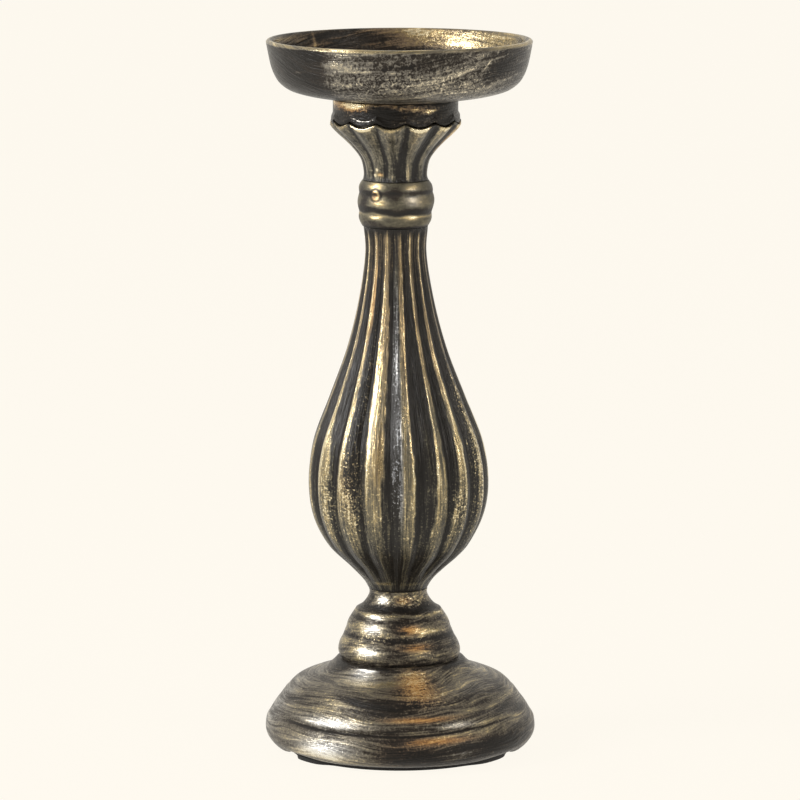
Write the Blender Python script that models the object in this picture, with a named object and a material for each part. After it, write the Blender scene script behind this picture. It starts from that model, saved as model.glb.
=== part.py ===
"""A pillar candle stand, modelled as the pieces that it comes apart into.

Cast and turned sections are stacked on a steel tie rod: a foot pad, a bell foot, a beaded riser,
a lobed pear column, a beaded collar, a scalloped capital, a drum and a dish for one pillar candle.
Sizes are in metres. The stand's axis is Z, its front faces -Y, and it stands on Z = 0.
Each outline is written in its own section's frame, as (radius, height above the section's foot).
"""

import math

import bmesh
import bpy
from mathutils import Vector

# Fits
FIT_GAP = 0.0003          # left between pieces that touch
ROD_CLEARANCE = 0.0004    # round the tie rod and the dish screw
SPIGOT_DEPTH = 0.0030     # how far a section's spigot enters the section below it

# Facets
WIDE_FACETS = 44
RISER_FACETS = 32
COLLAR_FACETS = 28
HARDWARE_FACETS = 20
LOBE_FACETS = 4           # facets across one lobe
CURVE_STEPS = 2           # steps from one outline point to the next
BEAD_STEPS = 5

# Foot pad
PAD_RADIUS = 0.0465
PAD_THICKNESS = 0.0020

# Bell foot
BELL_HEIGHT = 0.0367
BELL_TOP_RADIUS = 0.0250
BELL_SHOULDER_RADIUS = 0.0462
BELL_SHOULDER_HEIGHT = 0.670 * BELL_HEIGHT
BELL_STEP_RADIUS = 0.0531
BELL_STEP_HEIGHT = 0.455 * BELL_HEIGHT
BELL_STEP_DEPTH = 0.0010
BELL_ROLL_RADIUS = 0.0569
BELL_ROLL_HEIGHT = 0.185 * BELL_HEIGHT
BELL_FOOT_RADIUS = 0.0480
BELL_MOUTH_RADIUS = 0.0445
BELL_CAVITY_RADIUS = 0.0475
BELL_CAVITY_HEIGHT = 0.27 * BELL_HEIGHT
BELL_HAUNCH_RADIUS = 0.0415
BELL_HAUNCH_HEIGHT = 0.54 * BELL_HEIGHT
BELL_ROOF_RADIUS = 0.0270
BELL_ROOF_HEIGHT = 0.71 * BELL_HEIGHT
BELL_BOSS_RADIUS = 0.0120
BELL_BOSS_HEIGHT = 0.48 * BELL_HEIGHT
RISER_SPIGOT_RADIUS = 0.0160

# Riser
RISER_HEIGHT = 0.0292
RISER_TOP_RADIUS = 0.0123
RISER_WAIST_RADIUS = 0.0122
RISER_WAIST_HEIGHT = 0.925 * RISER_HEIGHT
RISER_EDGE_RADIUS = 0.0172
RISER_EDGE_HEIGHT = 0.702 * RISER_HEIGHT
RISER_GROOVE_RADIUS = 0.0220
RISER_GROOVE_HEIGHT = 0.363 * RISER_HEIGHT
RISER_FOOT_RADIUS = 0.0243
RISER_UPPER_BULGE = 0.0012
RISER_LOWER_BULGE = 0.0019
SECTION_SPIGOT_RADIUS = 0.0080

# Column
COLUMN_HEIGHT = 0.1535
COLUMN_FOOT_RADIUS = 0.0123
COLUMN_BAND_RADIUS = 0.0142
COLUMN_BAND_HEIGHT = 0.0032
BELLY_RADIUS = 0.0380
BELLY_HEIGHT = 0.2945 * COLUMN_HEIGHT
NECK_RADIUS = 0.0128
NECK_HEIGHT = 0.933 * COLUMN_HEIGHT
COLUMN_TOP_RADIUS = 0.0134
COLUMN_WALL = 0.0045
CORE_END_RADIUS = 0.0110  # the cored hollow stops where it gets narrower than this
COLUMN_LOBES = 17
COLUMN_TURN = math.radians(5.0)
COLUMN_CREASE = 0.055     # depth of a crease as a share of the radius
CREASE_RUN_OUT = 0.0080   # height over which the creases fade at each end

# Collar
COLLAR_HEIGHT = 0.0190
COLLAR_FOOT_RADIUS = 0.0139
COLLAR_GROOVE_RADIUS = 0.0150
COLLAR_LOWER_GROOVE = 0.30 * COLLAR_HEIGHT
COLLAR_UPPER_GROOVE = 0.72 * COLLAR_HEIGHT
COLLAR_TOP_RADIUS = 0.0138
COLLAR_LOWER_BULGE = 0.0007
COLLAR_MIDDLE_BULGE = 0.0006
COLLAR_UPPER_BULGE = 0.0007

# Capital
CAPITAL_HEIGHT = 0.0255
CAPITAL_FOOT_RADIUS = 0.0135
CAPITAL_WAIST_RADIUS = 0.0132
CAPITAL_WAIST_HEIGHT = 0.0024
LIP_RADIUS = 0.0272
LIP_DIP = 0.0020          # how far the lip sinks in the middle of a petal
PETALS = 13
PETAL_TURN = math.radians(-3.8)
PETAL_CREASE = 0.060      # depth of a crease as a share of the radius
RECESS_DEPTH = 0.0040     # from the lip's tips to the drum's seat
POCKET_RADIUS = 0.0080
POCKET_DEPTH = 0.0120     # from the drum's seat to the washer's seat

# Drum
DRUM_HEIGHT = 0.0079      # above the lip's tips
DRUM_RADIUS = 0.0262
DRUM_FLARE = 0.0002
DRUM_EDGE = 0.0005
DRUM_SPIGOT_RADIUS = 0.0222
SKIRT_DIP = 0.0011        # how far the drum's lower edge sinks into a scallop
DISH_BOSS_RADIUS = 0.0110
DISH_BOSS_DEPTH = 0.0030

# Dish
DISH_HEIGHT = 0.0245
DISH_SEAT_RADIUS = 0.0285
DISH_CORNER_RADIUS = 0.0454
DISH_CORNER_HEIGHT = 0.167 * DISH_HEIGHT
DISH_SIDE_RADIUS = 0.0528
DISH_SIDE_HEIGHT = 0.53 * DISH_HEIGHT
RIM_RADIUS = 0.0554
RIM_ROUND = 0.0010
DISH_WALL = 0.0027
DISH_FLOOR = 0.0031
DISH_FLOOR_RADIUS = 0.0395

# Fasteners
ROD_RADIUS = 0.0030
ROD_TAIL = 0.0030         # rod left below the base nut
ROD_ENGAGEMENT = 0.0080   # rod inside the coupling nut
ROD_CHAMFER = 0.0006
NUT_ACROSS_FLATS = 0.0100
NUT_HEIGHT = 0.0050
NUT_CHAMFER = 0.0005
COUPLING_LENGTH = 0.0180
WASHER_THICKNESS = 0.0016
BASE_WASHER_RADIUS = 0.0090
ROD_WASHER_RADIUS = 0.0060
LOCK_WASHER_RADIUS = 0.0059
LOCK_WASHER_SPLIT = math.radians(12.0)
SCREW_HEAD_RADIUS = 0.0060
SCREW_LENGTH = 0.0160
SOCKET_ACROSS_FLATS = 0.0040
SOCKET_DEPTH = 0.0018

# Where each section's foot lies
BELL_FOOT = PAD_THICKNESS + FIT_GAP
RISER_FOOT = BELL_FOOT + BELL_HEIGHT + FIT_GAP
COLUMN_FOOT = RISER_FOOT + RISER_HEIGHT + FIT_GAP
COLLAR_FOOT = COLUMN_FOOT + COLUMN_HEIGHT + FIT_GAP
CAPITAL_FOOT = COLLAR_FOOT + COLLAR_HEIGHT + FIT_GAP
DRUM_FOOT = CAPITAL_FOOT + CAPITAL_HEIGHT + FIT_GAP
DISH_FOOT = DRUM_FOOT + DRUM_HEIGHT + FIT_GAP
BORE_RADIUS = ROD_RADIUS + ROD_CLEARANCE
FRONT = -math.pi / 2


def clear_scene():
    """Empties the scene, so that the stand is all it holds."""
    for thing in list(bpy.data.objects):
        bpy.data.objects.remove(thing, do_unlink=True)


def material(name, colour, roughness, metallic):
    """One Principled finish."""
    made = bpy.data.materials.new(name)
    made.use_nodes = True
    shader = made.node_tree.nodes["Principled BSDF"]
    shader.inputs["Base Color"].default_value = (*colour, 1.0)
    shader.inputs["Roughness"].default_value = roughness
    shader.inputs["Metallic"].default_value = metallic
    made.diffuse_color = (*colour, 1.0)
    return made


def between(low, high, rise, swell):
    """A point at a share of the way from one outline point to another, in height and in radius."""
    return (low[0] + (high[0] - low[0]) * swell, low[1] + (high[1] - low[1]) * rise)


def smooth(points, steps=CURVE_STEPS):
    """A smooth curve through every given point, by centripetal Catmull-Rom spans."""
    knots = [Vector(point) for point in points]
    knots = [2 * knots[0] - knots[1]] + knots + [2 * knots[-1] - knots[-2]]
    curve = [tuple(knots[1])]
    for a, b, c, d in zip(knots, knots[1:], knots[2:], knots[3:]):
        times = [0.0]
        for start, end in ((a, b), (b, c), (c, d)):
            times.append(times[-1] + math.sqrt((end - start).length))
        for step in range(1, steps + 1):
            time = times[1] + (times[2] - times[1]) * step / steps
            curve.append(tuple(span_point((a, b, c, d), times, time)))
    return curve


def span_point(knots, times, time):
    """The point of one Catmull-Rom span at a time, by repeated blending."""
    row = list(knots)
    for level in (1, 2, 3):
        reach = level if level < 3 else 1
        blended = []
        for i in range(len(row) - 1):
            start, end = (times[i], times[i + reach]) if level < 3 else (times[1], times[2])
            blended.append(row[i] + (row[i + 1] - row[i]) * ((time - start) / (end - start)))
        row = blended
    return row[0]


def bead(top, bottom, bulge, steps=BEAD_STEPS):
    """A rounded moulding between two outline points, standing out by its bulge."""
    points = []
    for step in range(steps + 1):
        share = step / steps
        radius, height = between(top, bottom, share, share)
        points.append((radius + bulge * math.sin(math.pi * share), height))
    return points


def inset(points, depth):
    """A curve moved inwards by a wall, square to itself."""
    moved = []
    for i, (radius, height) in enumerate(points):
        before = Vector(points[max(i - 1, 0)])
        after = Vector(points[min(i + 1, len(points) - 1)])
        along = (after - before).normalized()
        moved.append((radius + along.y * depth, height - along.x * depth))
    return moved


def finish(name, mesh_data, finish_material, height, parent):
    """Makes an object of a bmesh, shades it and stands it on the axis at a height."""
    bmesh.ops.recalc_face_normals(mesh_data, faces=mesh_data.faces)
    mesh = bpy.data.meshes.new(name)
    mesh_data.to_mesh(mesh)
    mesh_data.free()
    mesh.shade_smooth()
    mesh.set_sharp_from_angle(angle=math.radians(35))
    mesh.materials.append(finish_material)
    made = bpy.data.objects.new(name, mesh)
    bpy.context.collection.objects.link(made)
    made.location.z = height
    made.parent = parent
    return made


def turned(section, facets):
    """Spins a section round the axis. A section that starts on the axis is left open there."""
    spun = bmesh.new()
    corners = [spun.verts.new((radius, 0.0, height)) for radius, height in section]
    ends = zip(corners, corners[1:])
    edges = [spun.edges.new(pair) for pair in ends]
    if section[0][0] > 0:
        edges.append(spun.edges.new((corners[-1], corners[0])))
    bmesh.ops.spin(spun, geom=corners + edges, cent=(0, 0, 0), axis=(0, 0, 1), dvec=(0, 0, 0),
                   angle=2 * math.pi, steps=facets, use_merge=True, use_duplicate=False)
    bmesh.ops.remove_doubles(spun, verts=spun.verts, dist=1e-6)
    return spun


def skinned(rings, joined=False):
    """Skins a row of rings. Its ends are capped, or joined to each other."""
    skin = bmesh.new()
    rows = [[skin.verts.new(point) for point in ring] for ring in rings]
    pairs = list(zip(rows, rows[1:]))
    if joined:
        pairs.append((rows[-1], rows[0]))
    else:
        skin.faces.new(rows[0])
        skin.faces.new(rows[-1])
    for low, high in pairs:
        for i in range(len(low)):
            after = (i + 1) % len(low)
            skin.faces.new((low[i], low[after], high[after], high[i]))
    return skin


def cut(target, cutter, operation="DIFFERENCE"):
    """Cuts a piece by another, which is then only a guide."""
    cutter.hide_render = True
    cutter.display_type = "WIRE"
    boolean = target.modifiers.new(cutter.name, "BOOLEAN")
    boolean.operation = operation
    boolean.solver = "EXACT"
    boolean.object = cutter


def hexagon(across_flats, low, high):
    """A six-sided prism."""
    corner = across_flats / math.sqrt(3)
    rings = []
    for height in (low, high):
        rings.append([(corner * math.cos(math.pi * i / 3), corner * math.sin(math.pi * i / 3), height)
                      for i in range(6)])
    return skinned(rings)


def crest(angle, count):
    """1 along the crest of a lobe, falling to 0 in the crease beside it."""
    return abs(math.cos(count * angle / 2))


def lobed_ring(radius, height, count, turn, crease=0.0, dip=0.0):
    """One ring of a lobed section, sunk by a crease between lobes and by a dip along each crest."""
    points = []
    for i in range(count * LOBE_FACETS):
        angle = 2 * math.pi * i / (count * LOBE_FACETS)
        high = crest(angle, count)
        reach = radius * (1 - crease * (1 - high))
        place = FRONT + turn + angle
        points.append((reach * math.cos(place), reach * math.sin(place), height - dip * high))
    return points


def bored_section(outline, recess_radius, spigot_radius):
    """Closes an outline that runs from top to foot, with a rod bore, a top recess and a spigot."""
    top = outline[0][1]
    return ([(BORE_RADIUS, top - SPIGOT_DEPTH), (recess_radius, top - SPIGOT_DEPTH), (recess_radius, top)]
            + outline
            + [(spigot_radius, 0.0), (spigot_radius, FIT_GAP - SPIGOT_DEPTH),
               (BORE_RADIUS, FIT_GAP - SPIGOT_DEPTH)])


def bell_outline():
    """From the riser's seat down a cove, a shoulder, a shallow step and a roll, to the foot."""
    top = (BELL_TOP_RADIUS, BELL_HEIGHT)
    shoulder = (BELL_SHOULDER_RADIUS, BELL_SHOULDER_HEIGHT)
    step = (BELL_STEP_RADIUS, BELL_STEP_HEIGHT)
    roll = (BELL_ROLL_RADIUS, BELL_ROLL_HEIGHT)
    foot = (BELL_FOOT_RADIUS, 0.0)
    upper = smooth([top, between(top, shoulder, 0.12, 0.11), between(top, shoulder, 0.38, 0.29),
                    between(top, shoulder, 0.60, 0.57), between(top, shoulder, 0.82, 0.87), shoulder,
                    between(shoulder, step, 0.40, 0.44), between(shoulder, step, 0.72, 0.76), step])
    lower = smooth([(BELL_STEP_RADIUS - BELL_STEP_DEPTH, BELL_STEP_HEIGHT - BELL_STEP_DEPTH),
                    between(step, roll, 0.40, 0.72), roll, between(roll, foot, 0.46, 0.07),
                    between(roll, foot, 0.80, 0.36), foot])
    return upper + lower


def bell_foot(finish_material, parent):
    """The cast bell: hollow below, with a boss that the base nut pulls against."""
    recess = RISER_SPIGOT_RADIUS + FIT_GAP
    section = ([(BORE_RADIUS, BELL_HEIGHT - SPIGOT_DEPTH), (recess, BELL_HEIGHT - SPIGOT_DEPTH),
                (recess, BELL_HEIGHT)]
               + bell_outline()
               + [(BELL_MOUTH_RADIUS, 0.0), (BELL_CAVITY_RADIUS, BELL_CAVITY_HEIGHT),
                  (BELL_HAUNCH_RADIUS, BELL_HAUNCH_HEIGHT), (BELL_ROOF_RADIUS, BELL_ROOF_HEIGHT),
                  (BELL_BOSS_RADIUS, BELL_ROOF_HEIGHT),
                  (BELL_BOSS_RADIUS, BELL_BOSS_HEIGHT), (BORE_RADIUS, BELL_BOSS_HEIGHT)])
    return finish("base_bell", turned(section, WIDE_FACETS), finish_material, BELL_FOOT, parent)


def foot_pad(finish_material, parent):
    """The soft disc that closes the bell and rests on the table."""
    section = [(0.0, 0.0), (PAD_RADIUS, 0.0), (PAD_RADIUS, PAD_THICKNESS), (0.0, PAD_THICKNESS)]
    return finish("base_pad", turned(section, WIDE_FACETS), finish_material, 0.0, parent)


def riser(finish_material, parent):
    """The short stem between bell and column: a cove, an edge and two rounded bulges."""
    top = (RISER_TOP_RADIUS, RISER_HEIGHT)
    waist = (RISER_WAIST_RADIUS, RISER_WAIST_HEIGHT)
    edge = (RISER_EDGE_RADIUS, RISER_EDGE_HEIGHT)
    groove = (RISER_GROOVE_RADIUS, RISER_GROOVE_HEIGHT)
    foot = (RISER_FOOT_RADIUS, 0.0)
    outline = (smooth([top, waist, between(waist, edge, 0.52, 0.30), edge])
               + bead((RISER_EDGE_RADIUS + FIT_GAP, RISER_EDGE_HEIGHT - FIT_GAP), groove,
                      RISER_UPPER_BULGE)
               + bead((RISER_GROOVE_RADIUS + FIT_GAP, RISER_GROOVE_HEIGHT - FIT_GAP), foot,
                      RISER_LOWER_BULGE))
    section = bored_section(outline, SECTION_SPIGOT_RADIUS + FIT_GAP, RISER_SPIGOT_RADIUS)
    return finish("ring_riser", turned(section, RISER_FACETS), finish_material, RISER_FOOT, parent)


def column_outline():
    """From the foot band out to the belly, in to the neck and out again to the top."""
    foot = (COLUMN_FOOT_RADIUS, 0.0)
    band = (COLUMN_BAND_RADIUS, COLUMN_BAND_HEIGHT)
    belly = (BELLY_RADIUS, BELLY_HEIGHT)
    neck = (NECK_RADIUS, NECK_HEIGHT)
    top = (COLUMN_TOP_RADIUS, COLUMN_HEIGHT)
    return smooth([foot, band, between(band, belly, 0.14, 0.24), between(band, belly, 0.37, 0.64),
                   between(band, belly, 0.67, 0.92), belly, between(belly, neck, 0.17, 0.09),
                   between(belly, neck, 0.37, 0.37), between(belly, neck, 0.57, 0.66),
                   between(belly, neck, 0.78, 0.87), neck, top])


def column_bore():
    """The hollow inside the column: a rod bore at both ends and a cored belly between them."""
    shell = [point for point in inset(column_outline(), -COLUMN_WALL)
             if point[0] > CORE_END_RADIUS and point[1] > COLUMN_BAND_HEIGHT + COLUMN_WALL]
    recess = SECTION_SPIGOT_RADIUS + FIT_GAP
    past = COLUMN_HEIGHT + SPIGOT_DEPTH
    return ([(0.0, -SPIGOT_DEPTH), (BORE_RADIUS, -SPIGOT_DEPTH), (BORE_RADIUS, shell[0][1])]
            + shell[::2]
            + [(BORE_RADIUS, shell[-1][1] + COLUMN_WALL), (BORE_RADIUS, COLUMN_HEIGHT - SPIGOT_DEPTH),
               (recess, COLUMN_HEIGHT - SPIGOT_DEPTH), (recess, past), (0.0, past)])


def column(finish_material, parent):
    """The pear-shaped column with its upright lobes."""
    rings = []
    for height in (FIT_GAP - SPIGOT_DEPTH, 0.0):
        rings.append(lobed_ring(SECTION_SPIGOT_RADIUS, height, COLUMN_LOBES, COLUMN_TURN))
    for radius, height in column_outline():
        from_end = min(height - COLUMN_BAND_HEIGHT, COLUMN_HEIGHT - height)
        fade = min(max(from_end / CREASE_RUN_OUT, 0.0), 1.0)
        rings.append(lobed_ring(radius, height, COLUMN_LOBES, COLUMN_TURN, COLUMN_CREASE * fade))
    body = finish("fluted_column", skinned(rings), finish_material, COLUMN_FOOT, parent)
    bore = finish("column_bore", turned(column_bore(), HARDWARE_FACETS), finish_material,
                  COLUMN_FOOT, parent)
    cut(body, bore)
    return body


def collar(finish_material, parent):
    """The collar of three beads between column and capital."""
    top = (COLLAR_TOP_RADIUS, COLLAR_HEIGHT)
    upper = (COLLAR_GROOVE_RADIUS, COLLAR_UPPER_GROOVE)
    lower = (COLLAR_GROOVE_RADIUS, COLLAR_LOWER_GROOVE)
    foot = (COLLAR_FOOT_RADIUS, 0.0)
    outline = (bead(top, upper, COLLAR_UPPER_BULGE)
               + bead(upper, lower, COLLAR_MIDDLE_BULGE)[1:]
               + bead(lower, foot, COLLAR_LOWER_BULGE)[1:])
    section = bored_section(outline, SECTION_SPIGOT_RADIUS + FIT_GAP, SECTION_SPIGOT_RADIUS)
    return finish("ring_collar", turned(section, COLLAR_FACETS), finish_material, COLLAR_FOOT, parent)


def capital_bore():
    """The rod bore up through the capital, and the pocket that holds washer and coupling nut."""
    seat = CAPITAL_HEIGHT - RECESS_DEPTH - POCKET_DEPTH
    past = CAPITAL_HEIGHT + SPIGOT_DEPTH
    return [(0.0, -SPIGOT_DEPTH), (BORE_RADIUS, -SPIGOT_DEPTH), (BORE_RADIUS, seat),
            (POCKET_RADIUS, seat), (POCKET_RADIUS, past), (0.0, past)]


def capital(finish_material, parent):
    """The flared capital: petals that end in a scalloped lip round the drum's seat."""
    waist = (CAPITAL_WAIST_RADIUS, CAPITAL_WAIST_HEIGHT)
    lip = (LIP_RADIUS, CAPITAL_HEIGHT)
    outline = smooth([(CAPITAL_FOOT_RADIUS, 0.0), waist, between(waist, lip, 0.25, 0.08),
                      between(waist, lip, 0.42, 0.25), between(waist, lip, 0.60, 0.50),
                      between(waist, lip, 0.78, 0.78), between(waist, lip, 0.91, 0.95), lip])
    rings = []
    for height in (FIT_GAP - SPIGOT_DEPTH, 0.0):
        rings.append(lobed_ring(SECTION_SPIGOT_RADIUS, height, PETALS, PETAL_TURN))
    for radius, height in outline:
        share = height / CAPITAL_HEIGHT
        sink = LIP_DIP * share ** 3
        fade = min(1.0, 8 * share) * (1 - 0.8 * share ** 6)
        rings.append(lobed_ring(radius, height, PETALS, PETAL_TURN, PETAL_CREASE * fade, sink))
    recess = DRUM_SPIGOT_RADIUS + FIT_GAP
    rings.append(lobed_ring(recess, CAPITAL_HEIGHT, PETALS, PETAL_TURN, dip=LIP_DIP))
    rings.append(lobed_ring(recess, CAPITAL_HEIGHT - RECESS_DEPTH, PETALS, PETAL_TURN))
    body = finish("scalloped_capital", skinned(rings), finish_material, CAPITAL_FOOT, parent)
    bore = finish("capital_bore", turned(capital_bore(), HARDWARE_FACETS), finish_material,
                  CAPITAL_FOOT, parent)
    cut(body, bore)
    return body


def drum(finish_material, parent):
    """The short drum under the dish. Its lower edge dips into the capital's scallops."""
    bore = DISH_BOSS_RADIUS + FIT_GAP
    spigot_end = FIT_GAP - RECESS_DEPTH
    foot_radius = DRUM_RADIUS + DRUM_FLARE
    stations = ((bore, spigot_end, 0.0), (DRUM_SPIGOT_RADIUS, spigot_end, 0.0),
                (DRUM_SPIGOT_RADIUS, 0.0, SKIRT_DIP), (foot_radius, 0.0, SKIRT_DIP),
                (DRUM_RADIUS, DRUM_HEIGHT - DRUM_EDGE, 0.0),
                (DRUM_RADIUS - DRUM_EDGE, DRUM_HEIGHT, 0.0), (bore, DRUM_HEIGHT, 0.0))
    rings = [lobed_ring(radius, height, PETALS, PETAL_TURN, dip=dip) for radius, height, dip in stations]
    return finish("dish_drum", skinned(rings, joined=True), finish_material, DRUM_FOOT, parent)


def dish_section():
    """The dish with its round rim, its flat floor, a countersink and a centring boss below."""
    seat = (DISH_SEAT_RADIUS, 0.0)
    corner = (DISH_CORNER_RADIUS, DISH_CORNER_HEIGHT)
    side = (DISH_SIDE_RADIUS, DISH_SIDE_HEIGHT)
    rim = (RIM_RADIUS, DISH_HEIGHT - RIM_ROUND)
    outer = smooth([seat, between(seat, corner, 0.36, 0.45), corner, between(corner, side, 0.40, 0.66),
                    side, rim])
    inner = [point for point in reversed(inset(outer, -DISH_WALL))
             if point[1] > DISH_FLOOR and point[0] > DISH_FLOOR_RADIUS and point[1] < rim[1]]
    edge = []
    for step in range(1, 2 * BEAD_STEPS):
        turn = math.pi * step / (2 * BEAD_STEPS)
        middle = RIM_RADIUS - DISH_WALL / 2
        edge.append((middle + DISH_WALL / 2 * math.cos(turn), rim[1] + RIM_ROUND * math.sin(turn)))
    cone_gap = FIT_GAP * math.sqrt(2)
    cone_height = SCREW_HEAD_RADIUS - ROD_RADIUS
    return ([(ROD_RADIUS + cone_gap, -DISH_BOSS_DEPTH), (DISH_BOSS_RADIUS, -DISH_BOSS_DEPTH),
             (DISH_BOSS_RADIUS, 0.0)]
            + outer + edge + inner
            + [(DISH_FLOOR_RADIUS, DISH_FLOOR), (SCREW_HEAD_RADIUS + cone_gap, DISH_FLOOR),
               (ROD_RADIUS + cone_gap, DISH_FLOOR - cone_height)])


def dish(finish_material, parent):
    """The dish that a pillar candle stands in."""
    return finish("candle_dish", turned(dish_section(), WIDE_FACETS), finish_material, DISH_FOOT, parent)


def dish_screw(finish_material, parent):
    """The countersunk screw that holds dish and drum down, flush with the dish's floor."""
    head = SCREW_HEAD_RADIUS
    section = [(0.0, 0.0), (head, 0.0), (ROD_RADIUS, ROD_RADIUS - head),
               (ROD_RADIUS, ROD_CHAMFER - SCREW_LENGTH), (ROD_RADIUS - ROD_CHAMFER, -SCREW_LENGTH),
               (0.0, -SCREW_LENGTH)]
    floor = DISH_FOOT + DISH_FLOOR
    screw = finish("dish_screw", turned(section, HARDWARE_FACETS), finish_material, floor, parent)
    socket = finish("screw_socket", hexagon(SOCKET_ACROSS_FLATS, -SOCKET_DEPTH, SOCKET_DEPTH),
                    finish_material, floor, parent)
    cut(screw, socket)
    return screw


def washer(name, radius, foot, finish_material, parent):
    """A flat washer on the rod."""
    bore = BORE_RADIUS
    section = [(bore, 0.0), (radius, 0.0), (radius, WASHER_THICKNESS), (bore, WASHER_THICKNESS)]
    return finish(name, turned(section, HARDWARE_FACETS), finish_material, foot, parent)


def lock_washer(foot, finish_material, parent):
    """A split spring washer, pressed flat."""
    rings = []
    for step in range(HARDWARE_FACETS + 1):
        angle = LOCK_WASHER_SPLIT / 2 + (2 * math.pi - LOCK_WASHER_SPLIT) * step / HARDWARE_FACETS
        ring = []
        for radius, height in ((BORE_RADIUS, 0.0), (LOCK_WASHER_RADIUS, 0.0),
                               (LOCK_WASHER_RADIUS, WASHER_THICKNESS), (BORE_RADIUS, WASHER_THICKNESS)):
            ring.append((radius * math.cos(angle), radius * math.sin(angle), height))
        rings.append(ring)
    return finish("lock_washer", skinned(rings), finish_material, foot, parent)


def nut(name, height, foot, finish_material, parent):
    """A hexagon nut: a chamfered ring trimmed to six flats."""
    bore = ROD_RADIUS + FIT_GAP
    corner = NUT_ACROSS_FLATS / math.sqrt(3)
    section = [(bore, 0.0), (corner - NUT_CHAMFER, 0.0), (corner, NUT_CHAMFER),
               (corner, height - NUT_CHAMFER), (corner - NUT_CHAMFER, height), (bore, height)]
    made = finish(name, turned(section, 2 * HARDWARE_FACETS), finish_material, foot, parent)
    flats = finish(name + "_flats", hexagon(NUT_ACROSS_FLATS, -NUT_CHAMFER, height + NUT_CHAMFER),
                   finish_material, foot, parent)
    cut(made, flats, "INTERSECT")
    return made


def tie_rod(low, high, finish_material, parent):
    """The rod that every section is threaded on."""
    end = ROD_RADIUS - ROD_CHAMFER
    length = high - low
    section = [(0.0, 0.0), (end, 0.0), (ROD_RADIUS, ROD_CHAMFER), (ROD_RADIUS, length - ROD_CHAMFER),
               (end, length), (0.0, length)]
    return finish("tie_rod", turned(section, HARDWARE_FACETS), finish_material, low, parent)


def hardware(steel, parent):
    """The tie rod with its nuts and washers, stacked from the bell's boss and the capital's web."""
    boss = BELL_FOOT + BELL_BOSS_HEIGHT
    base_washer_foot = boss - FIT_GAP - WASHER_THICKNESS
    lock_washer_foot = base_washer_foot - FIT_GAP - WASHER_THICKNESS
    base_nut_foot = lock_washer_foot - FIT_GAP - NUT_HEIGHT
    washer("base_washer", BASE_WASHER_RADIUS, base_washer_foot, steel, parent)
    lock_washer(lock_washer_foot, steel, parent)
    nut("base_nut", NUT_HEIGHT, base_nut_foot, steel, parent)
    web = CAPITAL_FOOT + CAPITAL_HEIGHT - RECESS_DEPTH - POCKET_DEPTH
    rod_washer_foot = web + FIT_GAP
    coupling_foot = rod_washer_foot + WASHER_THICKNESS + FIT_GAP
    washer("rod_washer", ROD_WASHER_RADIUS, rod_washer_foot, steel, parent)
    nut("coupling_nut", COUPLING_LENGTH, coupling_foot, steel, parent)
    tie_rod(base_nut_foot - ROD_TAIL, coupling_foot + ROD_ENGAGEMENT, steel, parent)


def main():
    clear_scene()
    axis = bpy.data.objects.new("stand_axis", None)
    bpy.context.collection.objects.link(axis)
    bronze = material("antique bronze paint", (0.115, 0.092, 0.062), 0.38, 0.85)
    gilt = material("rubbed gilt paint", (0.150, 0.122, 0.080), 0.34, 0.90)
    charcoal = material("charcoal and gilt paint", (0.060, 0.056, 0.052), 0.42, 0.70)
    steel = material("zinc plated steel", (0.560, 0.560, 0.570), 0.35, 1.0)
    rubber = material("black foam rubber", (0.012, 0.012, 0.013), 0.80, 0.0)
    foot_pad(rubber, axis)
    bell_foot(gilt, axis)
    riser(gilt, axis)
    column(charcoal, axis)
    collar(gilt, axis)
    capital(bronze, axis)
    drum(bronze, axis)
    dish(bronze, axis)
    dish_screw(steel, axis)
    hardware(steel, axis)


main()
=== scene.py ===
"""The candle stand, dressed: finely shaped sections in antique gold brushed over black.

Lengths are in metres. Outlines are written in millimetres, as (radius, height above the section's
foot). A turn is an angle round the axis from the front, -Y, growing towards +X.
"""

import math

import bmesh
import bpy
import numpy as np
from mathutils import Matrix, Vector

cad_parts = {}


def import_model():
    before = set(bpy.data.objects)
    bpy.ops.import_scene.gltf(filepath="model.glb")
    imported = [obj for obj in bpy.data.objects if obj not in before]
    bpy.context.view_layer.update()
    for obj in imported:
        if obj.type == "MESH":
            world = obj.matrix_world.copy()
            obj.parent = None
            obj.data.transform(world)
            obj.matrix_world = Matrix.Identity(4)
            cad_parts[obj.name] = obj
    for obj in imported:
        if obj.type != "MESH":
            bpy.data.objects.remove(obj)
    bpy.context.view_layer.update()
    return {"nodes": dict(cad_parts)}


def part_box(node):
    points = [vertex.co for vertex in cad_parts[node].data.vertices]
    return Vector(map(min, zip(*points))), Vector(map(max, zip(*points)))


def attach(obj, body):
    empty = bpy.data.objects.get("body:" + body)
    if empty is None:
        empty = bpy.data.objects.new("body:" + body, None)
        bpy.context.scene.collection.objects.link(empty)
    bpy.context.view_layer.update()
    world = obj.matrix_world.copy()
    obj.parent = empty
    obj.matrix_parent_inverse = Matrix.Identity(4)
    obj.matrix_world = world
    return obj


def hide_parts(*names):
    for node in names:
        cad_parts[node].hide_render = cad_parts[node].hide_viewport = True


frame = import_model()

MM = 0.001
SEAM = 0.3                # mm left between two sections
ROOT = "root"

# Where the photograph was taken from
CAMERA_DISTANCE = 2.0
CAMERA_HEIGHT = 0.475
CAMERA_DOWN = math.radians(9.27)
CAMERA_LENS = 217.2
SENSOR_WIDTH = 36.0

# Studio
FLOOR_SIZE = 60
FLOOR_SHADE = 0.03        # share of the floor's cream that takes shadow
SOFT_LEVEL = 0.45
AIM_HEIGHT = 0.15

# How far the hand-cast stack leans sideways, as (height, shift) in mm
LEAN = ((0, 0.0), (38, 0.0), (46, -0.5), (66, -0.9), (110, -0.75), (160, -1.3), (210, -1.8), (268, -1.85))
DISH_SHIFT = -0.25

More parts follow.
